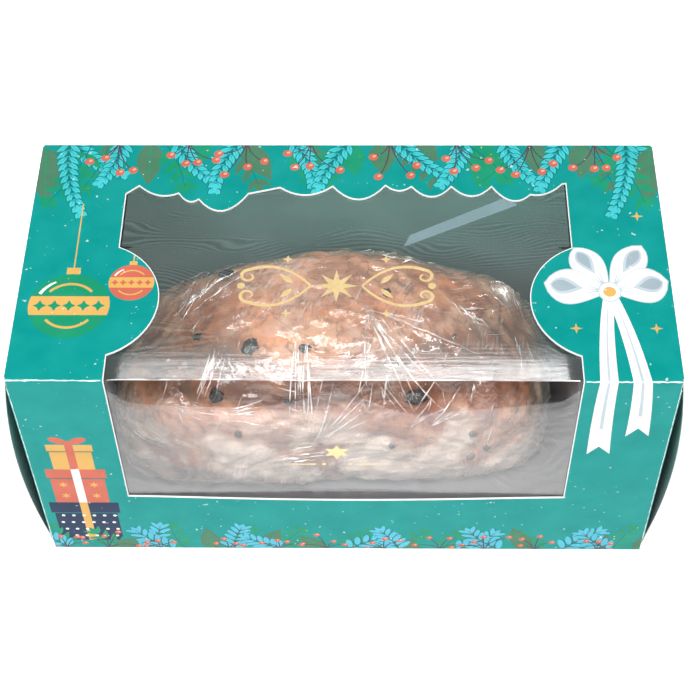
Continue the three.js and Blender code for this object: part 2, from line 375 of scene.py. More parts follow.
def leaf(base, tip, width, steps=6, fullness=0.85):
    """A pointed leaf."""
    axis = tip - base
    across = 0.5j * width * axis / abs(axis)
    shares = [i / steps for i in range(1, steps)]
    edge = [(t, math.sin(math.pi * t**fullness)) for t in shares]
    near = [base + axis * t - across * w for t, w in edge]
    far = [base + axis * t + across * w for t, w in reversed(edge)]
    return [base, *near, tip, *far]


def oval(centre, radius, squash=1.0, turn=0.0, steps=12):
    """A round or oval patch; turn is in degrees."""
    spin = cmath.rect(1, math.radians(turn))
    angles = [2 * math.pi * i / steps for i in range(steps)]
    return [centre + radius * spin * complex(math.cos(a), squash * math.sin(a)) for a in angles]


def star(centre, radius, points=5, waist=0.42, turn=90.0):
    spin = cmath.rect(1, math.radians(turn))
    tips = range(2 * points)
    return [
        centre + spin * cmath.rect(radius * (waist if i % 2 else 1), math.pi * i / points)
        for i in tips
    ]


def rectangle(low, high):
    return [low, complex(high.real, low.imag), high, complex(low.real, high.imag)]


def heading_of(path, share):
    """A point on a path and the unit direction there."""
    i = min(int(share * (len(path) - 1)), len(path) - 2)
    step = path[i + 1] - path[i]
    return path[i] + step * (share * (len(path) - 1) - i), step / abs(step)


def bent_spine(base, degrees, length, bend):
    """A gently curved stem."""
    ahead = cmath.rect(length, math.radians(degrees))
    return curve(base, base + ahead * (0.5 + bend * 1j), base + ahead)


def fir_sprig(base, degrees, length, bend=0.15, needle=7.0, pairs=9):
    """A sprig of short full needles, each over its darker edge."""
    spine = bent_spine(base, degrees, length, bend)
    layers = [("deep", ribbon(spine, 1.6, 0.6))]
    for i in range(pairs):
        share = (i + 0.6) / pairs
        root, ahead = heading_of(spine, share)
        size = needle * (1 - 0.45 * share)
        for side in (1, -1):
            lean = cmath.rect(1, side * math.radians(46 - 12 * share))
            tip = root + size * ahead * lean
            barb = root + 0.45 * size * ahead * lean
            layers.append(("deep", leaf(root, tip + 0.5 * ahead * lean, 3.0, 4)))
            layers.append(("cyan", leaf(root + 0.5 * ahead * lean, tip, 2.2, 4)))
            layers.append(("aqua", ribbon([root, blend(root, tip, 0.7)], 0.7, 0.2)))
            layers.append(("cyan", leaf(barb, barb + 0.5 * size * ahead, 1.1, 4)))
    layers.append(("cyan", leaf(spine[-2], spine[-1] + 2 * ahead, 1.8, 4)))
    return layers


def leafy_sprig(base, degrees, length, colour, bend=0.15, size=4.6, slim=0.42, pairs=6):
    """A stem with pairs of leaves; the sky-blue ones are round-tipped and shaded."""
    spine = bent_spine(base, degrees, length, bend)
    layers = []
    for i in range(pairs):
        share = (i + 0.9) / (pairs + 0.4)
        root, ahead = heading_of(spine, share)
        reach = size * (1 - 0.35 * share)
        for side in (1, -1):
            lean = ahead * cmath.rect(1, side * math.radians(58 - 20 * share))
            if colour == "sky":
                degrees_here = math.degrees(cmath.phase(lean))
                layers.append(("deep", oval(root + 0.55 * reach * lean, 0.52 * reach, 0.48, degrees_here)))
                middle = root + reach * (0.53 + 0.04j * side) * lean
                layers.append(("sky", oval(middle, 0.5 * reach, 0.38, degrees_here)))
            else:
                layers.append((colour, leaf(root, root + reach * lean, reach * slim, 5, 0.75)))
    layers.append((colour, leaf(spine[-2], spine[-1] + 0.4 * size * ahead, size * slim, 5, 0.75)))
    layers.append(("stem" if colour == "sky" else "deep", ribbon(spine, 0.45, 0.25)))
    return layers


def broad_leaf(base, degrees, length, width, colour="olive"):
    tip = base + cmath.rect(length, math.radians(degrees))
    layers = [(colour, leaf(base, tip, width, 9, 0.8))]
    vein = "green" if colour == "olive" else "teal"
    layers.append((vein, ribbon([base, blend(base, tip, 0.86)], 0.5, 0.15)))
    for i in range(3):
        root = blend(base, tip, 0.22 + 0.2 * i)
        for side in (1, -1):
            lean = cmath.rect(0.34 * width, math.radians(degrees + side * 38))
            layers.append((vein, ribbon([root, root + lean], 0.32, 0.12)))
    return layers


def berries(rng, base, degrees, length, count, radius, spread=70):
    """Berries on thin stems that part from one place."""
    layers = []
    fruit = []
    for i in range(count):
        share = (i + rng.uniform(-0.3, 0.3)) / (count - 1) - 0.5
        reach = length * rng.uniform(0.5, 1)
        end = base + cmath.rect(reach, math.radians(degrees + spread * share))
        middle = base + cmath.rect(0.6 * reach, math.radians(degrees + 0.35 * spread * share))
        layers.append(("stem", ribbon(curve(base, middle, end, 5), 0.55, 0.4)))
        fruit.append(("coral", oval(end, radius, 0.92, 30 * i)))
        fruit.append(("blush", oval(end + radius * (0.2 + 0.25j), 0.42 * radius, 0.7, 30, 8)))
    return layers + fruit


def hanging_garland():
    """Foliage that hangs from the top panel's back edge."""
    rng = random.Random(11)
    edge = DEPTH * 1j
    layers = []
    for i in range(13):
        base = edge - 112 + 18.5 * i + rng.uniform(-4, 4) + 1j
        colour = "olive" if i % 3 else "green"
        layers += broad_leaf(base, -90 + rng.uniform(-50, 50), rng.uniform(17, 27), 10.5, colour)
    for i in range(11):
        base = edge - 115 + 23 * i + rng.uniform(-4, 4) + 1j
        colour = "green" if i % 3 else "olive"
        layers += leafy_sprig(base, -90 + rng.uniform(-42, 42), 26, colour, 0.1, 11, 0.36, 4)
    for i in range(11):
        base = edge - 108 + 21.5 * i + rng.uniform(-4, 4) + 2j
        aim = -90 + (-1) ** i * rng.uniform(14, 52)
        layers += fir_sprig(base, aim, rng.uniform(24, 31), rng.uniform(-0.2, 0.2))
    for side in (-1, 1):
        layers += broad_leaf(edge + side * 119 - 2j, -90 - side * 6, 30, 12)
        layers += leafy_sprig(edge + side * 101, -90 + side * 24, 34, "green", 0.1, 11, 0.34, 5)
        layers += fir_sprig(edge + side * 110 + 2j, -90 - side * 12, 40, 0.12 * side, pairs=12)
    for i in range(8):
        base = edge - 92 + 27 * i + rng.uniform(-3, 3) + 1j
        layers += berries(rng, base, -90 + rng.uniform(-20, 20), rng.uniform(16, 23), 4, 1.9, 80)
    return layers


def standing_garland(low, high, base_level, seed):
    """Foliage that grows up from a panel's bottom edge."""
    rng = random.Random(seed)
    layers = []
    width = high - low
    steps = round(width / 22)
    for i in range(steps + 1):
        along = low + width * i / steps
        base = complex(along + rng.uniform(-3, 3), base_level - 1)
        layers += leafy_sprig(base + 8, 90 + rng.uniform(-50, 50), 20, "green", 0.1, 9, 0.34, 4)
        layers += broad_leaf(base, 90 + rng.uniform(-60, 60), rng.uniform(15, 21), 8.5)
    for i in range(steps):
        along = low + width * (i + 0.5) / steps
        base = complex(along + rng.uniform(-4, 4), base_level - 1)
        aim = 90 + (-1) ** i * rng.uniform(8, 60)
        layers += leafy_sprig(base, aim, rng.uniform(19, 24), "sky", rng.uniform(-0.2, 0.2), 7.6)
        base = complex(along - 8 + rng.uniform(-3, 3), base_level)
        layers += berries(rng, base, 90 + rng.uniform(-20, 20), rng.uniform(9, 15), 4, 1.35, 120)
    return layers


def moved(layers, turn, shift):
    return [(colour, [turn * point + shift for point in outline]) for colour, outline in layers]


def bauble(centre, radius, colour, band):
    """A hanging ball with a band, a cap and its thread."""
    top = centre + 1j * radius
    layers = [("gold", ribbon([top, top + 1j * (84 - top.imag)], 0.5, 0.5))]
    layers.append(("gold", rectangle(top - 0.17 * radius - 0.1j, top + radius * (0.17 + 0.2j))))
    layers.append((colour, oval(centre, radius, steps=36)))
    belt = [cmath.rect(radius, math.radians(a)) for a in (-17, -8, 0, 8, 17)]
    layers.append((band, [centre + p for p in belt + [-p for p in belt]]))
    for i in range(5):
        spot = centre + radius * 0.36 * (i - 2)
        layers.append((colour, star(spot, 0.17 * radius, 4, 0.5)))
    for side in (-1, 1):
        arc = [cmath.rect(0.68 * radius, math.radians(a)) for a in range(40, 141, 10)]
        path = [centre + (p if side > 0 else p.conjugate()) for p in arc]
        layers.append((band, ribbon(path, 0.07 * radius, 0.07 * radius)))
    glow = [centre + cmath.rect(0.84 * radius, math.radians(a)) for a in range(118, 163, 9)]
    layers.append(("white", ribbon(glow, 0.05 * radius, 0.09 * radius)))
    return layers


def round_petal(base, end, width, steps=14):
    """A loop's outline: narrow at its base, and rounded at its far end."""
    axis = end - base
    across = 0.5j * width * axis / abs(axis)
    edge = [(i / steps, math.sin(math.pi * (i / steps) ** 1.5) ** 0.7) for i in range(1, steps)]
    near = [base + axis * t - across * w for t, w in edge]
    far = [base + axis * t + across * w for t, w in reversed(edge)]
    return [base, *near, end, *far]


def bow_loop(knot, end, width):
    """One loop of a ribbon bow, with its shaded inside and the creases by the knot."""
    axis = end - knot
    layers = [("pale", round_petal(knot - 0.02 * axis, end + 0.02 * axis, 1.06 * width))]
    layers.append(("white", round_petal(knot, end, width)))
    layers.append(("pale", round_petal(knot + 0.4 * axis, knot + 0.93 * axis, 0.5 * width)))
    layers.append(("mist", round_petal(knot + 0.5 * axis, knot + 0.9 * axis, 0.34 * width)))
    for side in (-0.16, 0, 0.16):
        far = knot + 0.4 * axis + side * width * 1j * axis / abs(axis)
        layers.append(("pale", ribbon(curve(knot, knot + 0.2 * axis, far, 5), 1.0, 0.2)))
    return layers


def ribbon_tail(knot, control, end, width):
    """A hanging ribbon end, cut to a swallow tail, with a fold line down it."""
    path = curve(knot, control, end, 14)
    outline = ribbon(path, 0.45 * width, width)
    ahead = (path[-1] - path[-2]) / abs(path[-1] - path[-2])
    middle = len(outline) // 2
    outline.insert(middle, path[-1] - 0.6 * width * ahead)
    return [("white", outline), ("pale", ribbon(path[1:-2], 0.2, 0.16 * width))]


def gift_bow(knot, size, colour):
    layers = []
    for side in (-1, 1):
        layers.append((colour, oval(knot + size * (0.55 * side + 0.25j), 0.5 * size, 0.55, 25 * side)))
    layers.append((colour, oval(knot, 0.24 * size, steps=8)))
    return layers


def parcel(centre, level, width, height, colour, tape):
    """A wrapped gift with a lid, taped round the middle."""
    base = complex(centre, level)
    body = rectangle(base - width / 2, base + width / 2 + 1j * height)
    lid = rectangle(base - 0.55 * width + 0.74j * height, base + 0.55 * width + 1j * height)
    layers = [(colour, body), ("deep", rectangle(lid[0] - 0.6j, lid[1])), (colour, lid)]
    layers.append((tape, rectangle(base - 1.6, base + 1.6 + 1j * height)))
    return layers


def gift_stack():
    floor = -HEIGHT
    layers = parcel(-103.5, floor + 7, 25, 29, "navy", "gold")
    for row in range(4):
        for column in range(6):
            spot = complex(-113.7 + 4.1 * column, floor + 10.5 + 5.2 * row)
            layers.append(("white", oval(spot + (row % 2) * 0.9, 0.75, steps=8)))
    layers += parcel(-103.5, floor + 36, 21, 24, "red", "white")
    for row in range(2):
        for side in (-1, 1):
            spot = complex(-103.5 + 6 * side, floor + 41 + 8 * row)
            layers.append(("gold", star(spot, 2.2, 6, 0.35)))
    layers += parcel(-103.5, floor + 60, 16, 17, "gold", "red")
    layers += gift_bow(complex(-103.5, floor + 78), 7, "red")
    return layers


def great_bow():
    """A white ribbon bow beside the window, whose tails hang over the front fold."""
    knot = 97.5 + 41j
    layers = ribbon_tail(knot, 92 + 14j, 95 - 46j, 8.5)
    layers += ribbon_tail(knot, 107 + 12j, 108 - 34j, 8.5)
    for end, width in ((86 + 62j, 12), (111 + 63j, 12), (74 + 45j, 16), (119.2 + 46j, 16)):
        layers += bow_loop(knot, end, width)
    layers.append(("pale", oval(knot, 4.4, 1.1)))
    layers.append(("white", oval(knot, 3.9, 1.1)))
    layers.append(("gold", oval(knot, 2.4, steps=14)))
    for spot in (81 + 66j, 113 + 24j, 111 + 78j, 84 + 24j):
        layers.append(("gold", star(spot, 2.4, 4, 0.3)))
    return layers


def cracked_line(start, end, width, seed):
    """Bare board along a worn fold, as a thin line of uneven width."""
    rng = random.Random(seed)
    steps = max(int(abs(end - start) / 1.4), 2)
    path = [blend(start, end, i / steps) for i in range(steps + 1)]
    across = 1j * (end - start) / abs(end - start)
    right = [point - across * width * rng.uniform(0.15, 1) for point in path]
    left = [point + across * width * rng.uniform(0.15, 1) for point in path]
    return ("white", right + left[::-1])


# Thin sheets with print on them


def window_outline():
    """The window's outline on the blank, anticlockwise from its lower left corner."""
    reach = math.degrees(math.acos((TAB_X - WINDOW_HALF_WIDTH) / TAB_RADIUS))
    sill = complex(WINDOW_HALF_WIDTH, WINDOW_SILL - HEIGHT)
    tab = complex(TAB_X, TAB_FROM_FRONT)
    right_arc = [
        tab + cmath.rect(TAB_RADIUS, math.radians(180 + blend(reach, -reach, i / 24)))
        for i in range(25)
    ]
    left_arc = [-point.conjugate() for point in reversed(right_arc)]
    back = [complex(-WINDOW_HALF_WIDTH, WINDOW_BACK_LEFT)]
    for along, from_front, hang in SCALLOPS:
        end = complex(along, from_front)
        control = (back[-1] + end) / 2 - 2j * hang
        back += curve(back[-1], control, end, 10 if hang else 1)[1:]
    back.append(complex(WINDOW_HALF_WIDTH, WINDOW_BACK_RIGHT))
    return [-sill.conjugate(), sill, *right_arc, *back[::-1], *left_arc]


def grown(outline, margin):
    """An anticlockwise outline, pushed outwards by a margin."""
    made = []
    for i, point in enumerate(outline):
        before = point - outline[i - 1]
        after = outline[(i + 1) % len(outline)] - point
        along = before / abs(before) + after / abs(after)
        along /= abs(along)
        mitre = max((along * (after / abs(after)).conjugate()).real, 0.5)
        made.append(point - 1j * along * margin / mitre)
    return made


def area_of(outline):
    return sum((a.conjugate() * b).imag for a, b in zip(outline, outline[1:] + outline[:1])) / 2


def triangles(outline, holes, layers, lines):
    """Split a flat sheet into triangles, and find each one's topmost printed layer.

    Returns the points, the triangles, and each triangle's ink, or None where it is bare.
    """
    shapes = [outline, *holes, *(shape for _, shape in layers)]
    points, shape_faces = [], []
    for shape in shapes:
        if area_of(shape) < 0:
            shape = shape[::-1]
        shape_faces.append(list(range(len(points), len(points) + len(shape))))
        points += [(p.real, p.imag) for p in shape]
    edges = []
    for start, end in lines:
        edges.append((len(points), len(points) + 1))
        points += [(start.real, start.imag), (end.real, end.imag)]
    found = geometry.delaunay_2d_cdt(points, edges, shape_faces, 1, 1e-4)
    places, _, faces, _, _, owners = found
    first_layer = 1 + len(holes)
    kept, inks = [], []
    for face, owner in zip(faces, owners):
        if 0 in owner and not any(1 <= i < first_layer for i in owner):
            kept.append(face)
            inks.append(layers[max(owner) - first_layer][0] if max(owner) else None)
    used = sorted({i for face in kept for i in face})
    index = {old: new for new, old in enumerate(used)}
    return [places[i] for i in used], [[index[i] for i in face] for face in kept], inks


def printed_sheet(name, flat, place, thickness, inks, base, under, rim, slot, node_name):
    """Fold a flat triangulated sheet into a closed solid of even thickness.

    place gives the outer face's point and normal for a point of the flat sheet.
    """
    places, outer, face_inks = flat
    spots = [place(*spot) for spot in places]
    count = len(spots)
    points = [spot for spot, _ in spots] + [spot - normal * thickness for spot, normal in spots]
    inner = [[i + count for i in reversed(face)] for face in outer]
    sides = {(a, b) for face in outer for a, b in zip(face, face[1:] + face[:1])}
    rims = [(b, a, a + count, b + count) for a, b in sorted(sides) if (b, a) not in sides]
    names = list(inks)
    made = piece(name, points, outer + inner + rims, list(inks.values()), slot, node_name)
    shades = [names.index(ink or base) for ink in face_inks]
    shades += [names.index(under)] * len(inner) + [names.index(rim)] * len(rims)
    made.data.polygons.foreach_set("material_index", shades)
    normals = []
    for face in outer:
        normals += [spots[i][1] for i in face]
    for face in inner:
        normals += [-spots[i - count][1] for i in face]
    flat_normals = [polygon.normal.copy() for polygon in made.data.polygons]
    for i in range(len(outer) + len(inner), len(flat_normals)):
        normals += [flat_normals[i]] * 4
    made.data.normals_split_custom_set(normals)
    return made


# Carton

QUARTER = math.pi / 2
CORNER = (2 * FOLD_RADIUS, -QUARTER, FOLD_RADIUS)
HALF_CORNER = (FOLD_RADIUS, -QUARTER / 2, FOLD_RADIUS)
ACROSS_TOP = (DEPTH - 2 * FOLD_RADIUS, 0, 0)
UP_FRONT = (HEIGHT - 2 * FOLD_RADIUS, 0, 0)
SLEEVE = (HALF_CORNER, ACROSS_TOP, CORNER, UP_FRONT, CORNER, ACROSS_TOP, CORNER, UP_FRONT, HALF_CORNER)
SEAM_CUT = FOLD_RADIUS * (1 - math.sin(QUARTER / 2))
SEAM = (DEPTH / 2 - SEAM_CUT, SEAM_CUT)  # the glued seam lies on the back-bottom edge
SEAM_HEADING = -1.5 * QUARTER


def end_legs():
    """An end panel's way round: hinge, bow, turn in over the base, and lip."""
    rough_lean = 2 * math.atan(2 * END_BOW / (HEIGHT - TUCK_HEIGHT))
    chord = HEIGHT - TUCK_HEIGHT - HINGE_RADIUS * (1 - math.sin(rough_lean))
    bow = END_BOW - HINGE_RADIUS
    lean = 2 * math.atan(2 * bow / chord)
    radius = chord / 2 / math.sin(lean)
    turn = (TUCK_HEIGHT - LIP_LEVEL) / (1 - math.sin(lean))
    bend = QUARTER - lean
    return (
        (HINGE_RADIUS * bend, -bend, HINGE_RADIUS),
        (radius * 2 * lean, -2 * lean, radius),
        (turn * bend, -bend, turn),
        (TUCK_LENGTH, 0, 0),
    )


END_LEGS = end_legs()
END_LENGTH = sum(leg[0] for leg in END_LEGS)
DUST_LEGS = ((HINGE_RADIUS * QUARTER, -QUARTER, HINGE_RADIUS), (DUST_FLAP_REACH, 0, 0))


def folded_card(along, up):
    """The place and normal of the card's outer face for a point of the blank."""
    y, z, heading = walk(SEAM, SEAM_HEADING, SLEEVE, up + HEIGHT + DEPTH)
    outward = Vector((0, -math.sin(heading), math.cos(heading)))
    if -HEIGHT < up < WINDOW_SILL - HEIGHT + 1:
        across = max(1 - (along / WINDOW_HALF_WIDTH) ** 2, 0) ** 1.5
        y -= STRIP_BOW * across * math.sin(QUARTER * min((up + HEIGHT) / WINDOW_SILL, 1))
    legs = END_LEGS if 0 < up < DEPTH else DUST_LEGS
    side = math.copysign(1, along)
    reach, out, tilt = walk((0, 0), 0, legs, abs(along) - WIDTH / 2)
    spot = Vector((side * (min(abs(along), WIDTH / 2) + reach), y, z)) + out * outward
    normal = Vector((-side * math.sin(tilt), 0, 0)) + math.cos(tilt) * outward
    return spot, normal


def blank_outline():
    """The carton's flat blank: four panels, end panels on the top one, dust flaps beside."""
    edge = WIDTH / 2
    tuck = edge + END_LENGTH
    dust = edge + DUST_FLAP_REACH
    low, high = DUST_FLAP_BOTTOM - HEIGHT, DUST_FLAP_TOP - HEIGHT
    front = [
        complex(edge, low),
        complex(dust, low + DUST_FLAP_TAPER),
        complex(dust, high - DUST_FLAP_TAPER),
        complex(edge, high),
    ]
    end = [
        complex(edge, END_INSET),
        complex(tuck - TUCK_CORNER, END_INSET),
        complex(tuck, END_INSET + TUCK_CORNER),
        complex(tuck, DEPTH - END_INSET - TUCK_CORNER),
        complex(tuck - TUCK_CORNER, DEPTH - END_INSET),
        complex(edge, DEPTH - END_INSET),
    ]
    back = [point.conjugate() + DEPTH * 1j for point in reversed(front)]
    corner = complex(edge, HEIGHT + DEPTH)
    right = [corner.conjugate(), *front, *end, *back, corner]
    return right + [-point.conjugate() for point in reversed(right)]


def level_line(up, half=WIDTH / 2):
    return complex(-half, up), complex(half, up)


def blank_lines():
    """Lines that give the folds and bowed panels enough vertices to bend."""
    lines = []
    for fold in (-HEIGHT, 0, DEPTH):
        lines += [level_line(fold + FOLD_RADIUS * (i / 3 - 1)) for i in range(7)]
    lines += [level_line(WINDOW_SILL * i / 4 - HEIGHT, WINDOW_HALF_WIDTH) for i in range(1, 5)]
    bends = [END_LEGS[0][0] * i / 3 for i in range(4)]
    bends += [END_LEGS[0][0] + END_LEGS[1][0] * i / 16 for i in range(1, 17)]
    bends += [END_LEGS[0][0] + END_LEGS[1][0] + END_LEGS[2][0] * i / 4 for i in range(1, 5)]
    for side in (-1, 1):
        for bend in bends:
            along = side * (WIDTH / 2 + bend)
            lines.append((complex(along, END_INSET), complex(along, DEPTH - END_INSET)))
        for low, high in ((-HEIGHT, 0), (DEPTH, DEPTH + HEIGHT)):
            for i in range(4):
                along = side * (WIDTH / 2 + DUST_LEGS[0][0] * i / 3)
                lines.append((complex(along, low + 6), complex(along, high - 6)))
    for i in range(-8, 9):
        along = i * WINDOW_HALF_WIDTH / 8
        lines.append((complex(along, -HEIGHT), complex(along, WINDOW_SILL - HEIGHT)))
    return lines


def carton_print():
    window = window_outline()
    layers = hanging_garland()
    layers += bauble(-79 + 45j, 8.5, "red", "gold")
    layers += bauble(-101 + 34j, 15, "green", "gold")
    layers += gift_stack()
    layers += standing_garland(-WIDTH / 2, WIDTH / 2, -HEIGHT, 5)
    back = standing_garland(-WIDTH / 2, WIDTH / 2, 0, 6)
    layers += moved(back, -1, (DEPTH + HEIGHT) * 1j)
    for side in (-1, 1):
        end = standing_garland(END_INSET - DEPTH / 2, DEPTH / 2 - END_INSET, 0, 8 + side)
        base = side * (WIDTH / 2 + END_LEGS[0][0] + END_LEGS[1][0])
        layers += moved(end, side * 1j, complex(base, DEPTH / 2))
    layers += great_bow()
    fold = WINDOW_HALF_WIDTH + 1
    for side in (-1, 1):
        layers.append(cracked_line(side * WIDTH / 2, side * fold, 0.5, 20 + side))
        corner = complex(side * WIDTH / 2, -HEIGHT)
        layers.append(cracked_line(corner, corner + HEIGHT * 1j, 0.2, 30 + side))
    layers.append(("white", grown(window, WHITE_RIM)))
    return layers


def build_carton():
    inks = {
        "teal": ink("teal ink", TEAL),
        "deep": ink("deep teal ink", DEEP),
        "cyan": ink("cyan ink", CYAN),
        "aqua": ink("aqua ink", AQUA),
        "sky": ink("sky ink", SKY),
        "olive": ink("olive ink", OLIVE),
        "green": ink("green ink", GREEN),
        "coral": ink("coral ink", CORAL),
        "blush": ink("blush ink", BLUSH),
        "stem": ink("stem ink", STEM),
        "gold": ink("gold ink", GOLD),
        "red": ink("red ink", CORAL),
        "navy": ink("navy ink", NAVY),
        "pale": ink("pale ink", PALE),
        "mist": ink("mist ink", MIST),
        "white": ink("white ink", WHITE),
        "board": bare_board("grey board", BOARD, BOARD_PAINTED_TEAL_LIGHT, 0.75),
        "cut": bare_board("cut edge", WHITE, WHITE, 0.8),
    }
    flat = triangles(blank_outline(), [window_outline()], carton_print(), blank_lines())
    return printed_sheet(
        "carton_printed", flat, folded_card, CARD, inks, "teal", "board", "cut",
        "printed_card", "carton")


# Window film


def film_pull(along):
    """How fully the film cuts the corner: not at its glued ends, and fully between them."""
    return 1 - smooth(abs(along), WINDOW_HALF_WIDTH - FILM_PULL_END, WINDOW_HALF_WIDTH)


def folded_film(along, up, below=None):
    """The film's face: up is how far behind the crease, or below it where negative.

    The normal jumps at the crease, so below can say which side of it a face is on.
    """
    below = up < 0 if below is None else below
    pull = film_pull(along)
    front = CARD + FILM_GAP - DEPTH / 2
    top = HEIGHT - CARD - FILM_GAP
    if not below:
        share = max(1 - up / FILM_BEND_TOP, 0)
        drop = pull * FILM_DROP * share**2
        lean = pull * 2 * FILM_DROP * share / FILM_BEND_TOP
        back = blend(up, FILM_PULL + up * (1 - FILM_PULL / FILM_BACK), pull)
        ripple = 0.12 * math.sin(along / 9 + up / 14) * math.sin(up / 17 - along / 31)
        spot = Vector((along, front + back, top - drop + ripple))
        return spot, Vector((0, -lean, 1)).normalized()
    share = max(1 + up / FILM_BEND_FRONT, 0)
    shift = pull * FILM_PULL * share**2
    lean = pull * 2 * FILM_PULL * share / FILM_BEND_FRONT
    drop = pull * FILM_DROP * max(1 + up / (top - FILM_BOTTOM), 0)
    ripple = 0.1 * math.sin(along / 12 - up / 9)
    spot = Vector((along, front + shift + ripple, top - drop + up))
    return spot, Vector((0, -1, lean)).normalized()


def film_haze(material, place):
    """Fine flowing lines, as in stretched film, and faint clouds."""
    bent = node(material, "Mapping", {"Vector": place, "Scale": (1, 2.4, 1)})
    flow = node(material, "TexWave", {
        "Vector": bent, "Scale": 100.0, "Distortion": 75.0, "Detail": 1.5, "Detail Scale": 0.17,
        "Detail Roughness": 0.4}, bands_direction="Y")
    lines = sums(material, "MULTIPLY", span(material, flow, 0.3, 1.0), 0.07)
    clouds = span(material, mottle(material, place, 14, 3, 0.8), 0.4, 0.75)
    total = sums(material, "ADD", lines, sums(material, "MULTIPLY", clouds, 0.05))
    return sums(material, "ADD", total, 0.01)


def bend_haze(material, place):
    """A trace of haze, where the film bends towards the front."""
    return span(material, mottle(material, place, 60, 3), 0.4, 0.7, 0.0, 0.06)


def film_bump(material, place):
    """Slack waves, and streaks that lie along the crease."""
    waves = mottle(material, node(material, "Mapping", {"Vector": place, "Scale": (1, 2.2, 2.2)}), 26, 3)
    streaks = mottle(material, node(material, "Mapping", {"Vector": place, "Scale": (5, 150, 150)}), 5, 3)
    total = sums(material, "ADD", waves, sums(material, "MULTIPLY", streaks, 0.5))
    return bump(material, total, 0.9, 0.3)


def tinted_film(name, colour, low, high):
    """Film that is whitened or shaded, more in some places than in others."""
    material = new_material(name)
    cover = span(material, mottle(material, place_on_object(material), 60, 4), 0.35, 0.65, low, high)
    tint = node(material, "BsdfDiffuse", {"Color": (*colour, 1)})
    clear = node(material, "BsdfTransparent", {})
    return finish_material(material, node(material, "MixShader", {0: cover, 1: clear, 2: tint}))


def flourish(centre, width):
    """A gold ornament: a star between two pairs of scrolls."""
    layers = [("gold", star(centre, 0.12 * width, 8, 0.38))]
    for side in (-1, 1):
        for rise in (-1, 1):
            turn = complex(side, rise)
            start = centre + complex(side * 0.14 * width, 0)
            far = start + complex(side * 0.34 * width, rise * 0.12 * width)
            control = start + complex(side * 0.16 * width, rise * 0.2 * width)
            layers.append(("gold", ribbon(curve(start, control, far, 14), 0.9, 1.6)))
            curl_centre = far - complex(0, rise * 0.05 * width)
            curl = []
            for i in range(15):
                spiral = cmath.rect(0.05 * width * (1 - i / 20), math.radians(24 * i))
                curl.append(curl_centre + complex(side * spiral.imag, rise * spiral.real))
            layers.append(("gold", ribbon(curl, 1.5, 0.6)))
            bud = centre + complex(side * 0.27 * width, rise * 0.2 * width)
            layers.append(("gold", star(bud, 0.03 * width, 4, 0.4)))
            sprout = start + complex(side * 0.1 * width, rise * 0.02 * width)
            layers.append(("gold", leaf(sprout, sprout + 0.07 * width * turn, 2.2)))
        tip = centre + side * 0.52 * width
        layers.append(("gold", oval(tip, 0.022 * width)))
    return layers


def film_print():
    rng = random.Random(3)
    steps = 60
    window = window_outline()
    # painted shadow: a dark ring on the film just round the window's cut edge
    layers = [("shade", grown(window, 0.6)), ("clear", grown(window, -0.55))]
    layers.append(("clear", [-95 + 0j, 95 + 0j, 95 + 60j, -95 + 60j]))
    layers.append(("front", [-95 - 80j, 95 - 80j, 95 + 0j, -95 + 0j]))
    layers.append(("bend", [complex(along, -down) for along, down in FILM_BAND] + [90 + 0j, -90 + 0j]))
    smear = cmath.rect(1, math.radians(27))
    start, length, half = 21 + 62j, 49, 2.2
    layers.append(("smear", [start + smear * spot for spot in (
        -1j * half, length - 1j * half, length + 1.6j * half, 5 + 1j * half)]))
    path = [complex(blend(-84, 84, i / steps), 0) for i in range(steps + 1)]
    upper = [point + 1j * rng.uniform(0.1, 0.75) for point in path]
    layers.append(("crease", path + upper[::-1]))
    layers += flourish(-3 + 40j, 68)
    layers.append(("gold", star(-3 - 42j, 5.2, 6, 0.5)))
    for side in (-1, 1):
        line = [complex(-3 + side * 8, -51), complex(-3 + side * 20, -51)]
        layers.append(("gold", ribbon(line, 0.9, 0.35)))
        layers.append(("gold", oval(complex(-3 + side * 5, -51), 0.8, steps=8)))
    return layers


def build_film():
    half = WINDOW_HALF_WIDTH + FILM_MARGIN
    top = HEIGHT - CARD - FILM_GAP
    low = complex(half, FILM_BOTTOM - top)
    high = complex(half, FILM_BACK)
    outline = [-low.conjugate(), low, high, -high.conjugate()]
    lines = [level_line(FILM_BEND_TOP * i / 12, half) for i in range(13)]
    lines += [level_line(-FILM_BEND_FRONT * i / 12, half) for i in range(1, 13)]
    lines += [level_line(FILM_BEND_TOP + i * 6, half) for i in range(1, 15)]
    lines += [level_line(-FILM_BEND_FRONT - i * 6, half) for i in range(1, 13)]
    for i in range(-23, 24):
        lines.append((complex(4 * i, low.imag), complex(4 * i, high.imag)))
    flat = triangles(outline, [], film_print(), lines)
    films = {
        "clear": clear_film("clear film", 0.07, 0.27, film_haze, (0.41, 0.54, 0.51), film_bump),
        "front": clear_film("front film", 0.066, 0.2, film_haze, (0.6, 0.53, 0.53), film_bump),
        "bend": clear_film("bent film", 0.012, 0.2, bend_haze, (0.3, 0.2, 0.16), film_bump),
        "gold": foil("gold foil"),
        "crease": tinted_film("whitened crease", (0.75, 0.72, 0.72), 0.3, 0.95),
        "smear": tinted_film("smeared film", (0.28, 0.385, 0.43), 0.38, 0.46),
        # painted shadow of the card on the film
        "shade": tinted_film("film in the card's shadow", (0.02, 0.02, 0.02), 0.6, 0.8),
    }
    return single_sheet(flat, films)


def single_sheet(flat, inks):
    """The film as one face, which lets light through as the thin sheet does."""
    places, faces, face_inks = flat
    spots = [folded_film(*spot) for spot in places]
    points = [spot for spot, _ in spots]
    made = piece("window_film_clear", points, faces, list(inks.values()), "clear_film", "window_film")
    names = list(inks)
    shades = [names.index(ink or "clear") for ink in face_inks]
    made.data.polygons.foreach_set("material_index", shades)
    normals = []
    for face in faces:
        below = sum(places[i][1] for i in face) < 0
        normals += [folded_film(*places[i], below=below)[1] for i in face]
    made.data.normals_split_custom_set(normals)
    return made


# Loaf, raisins and cling wrap


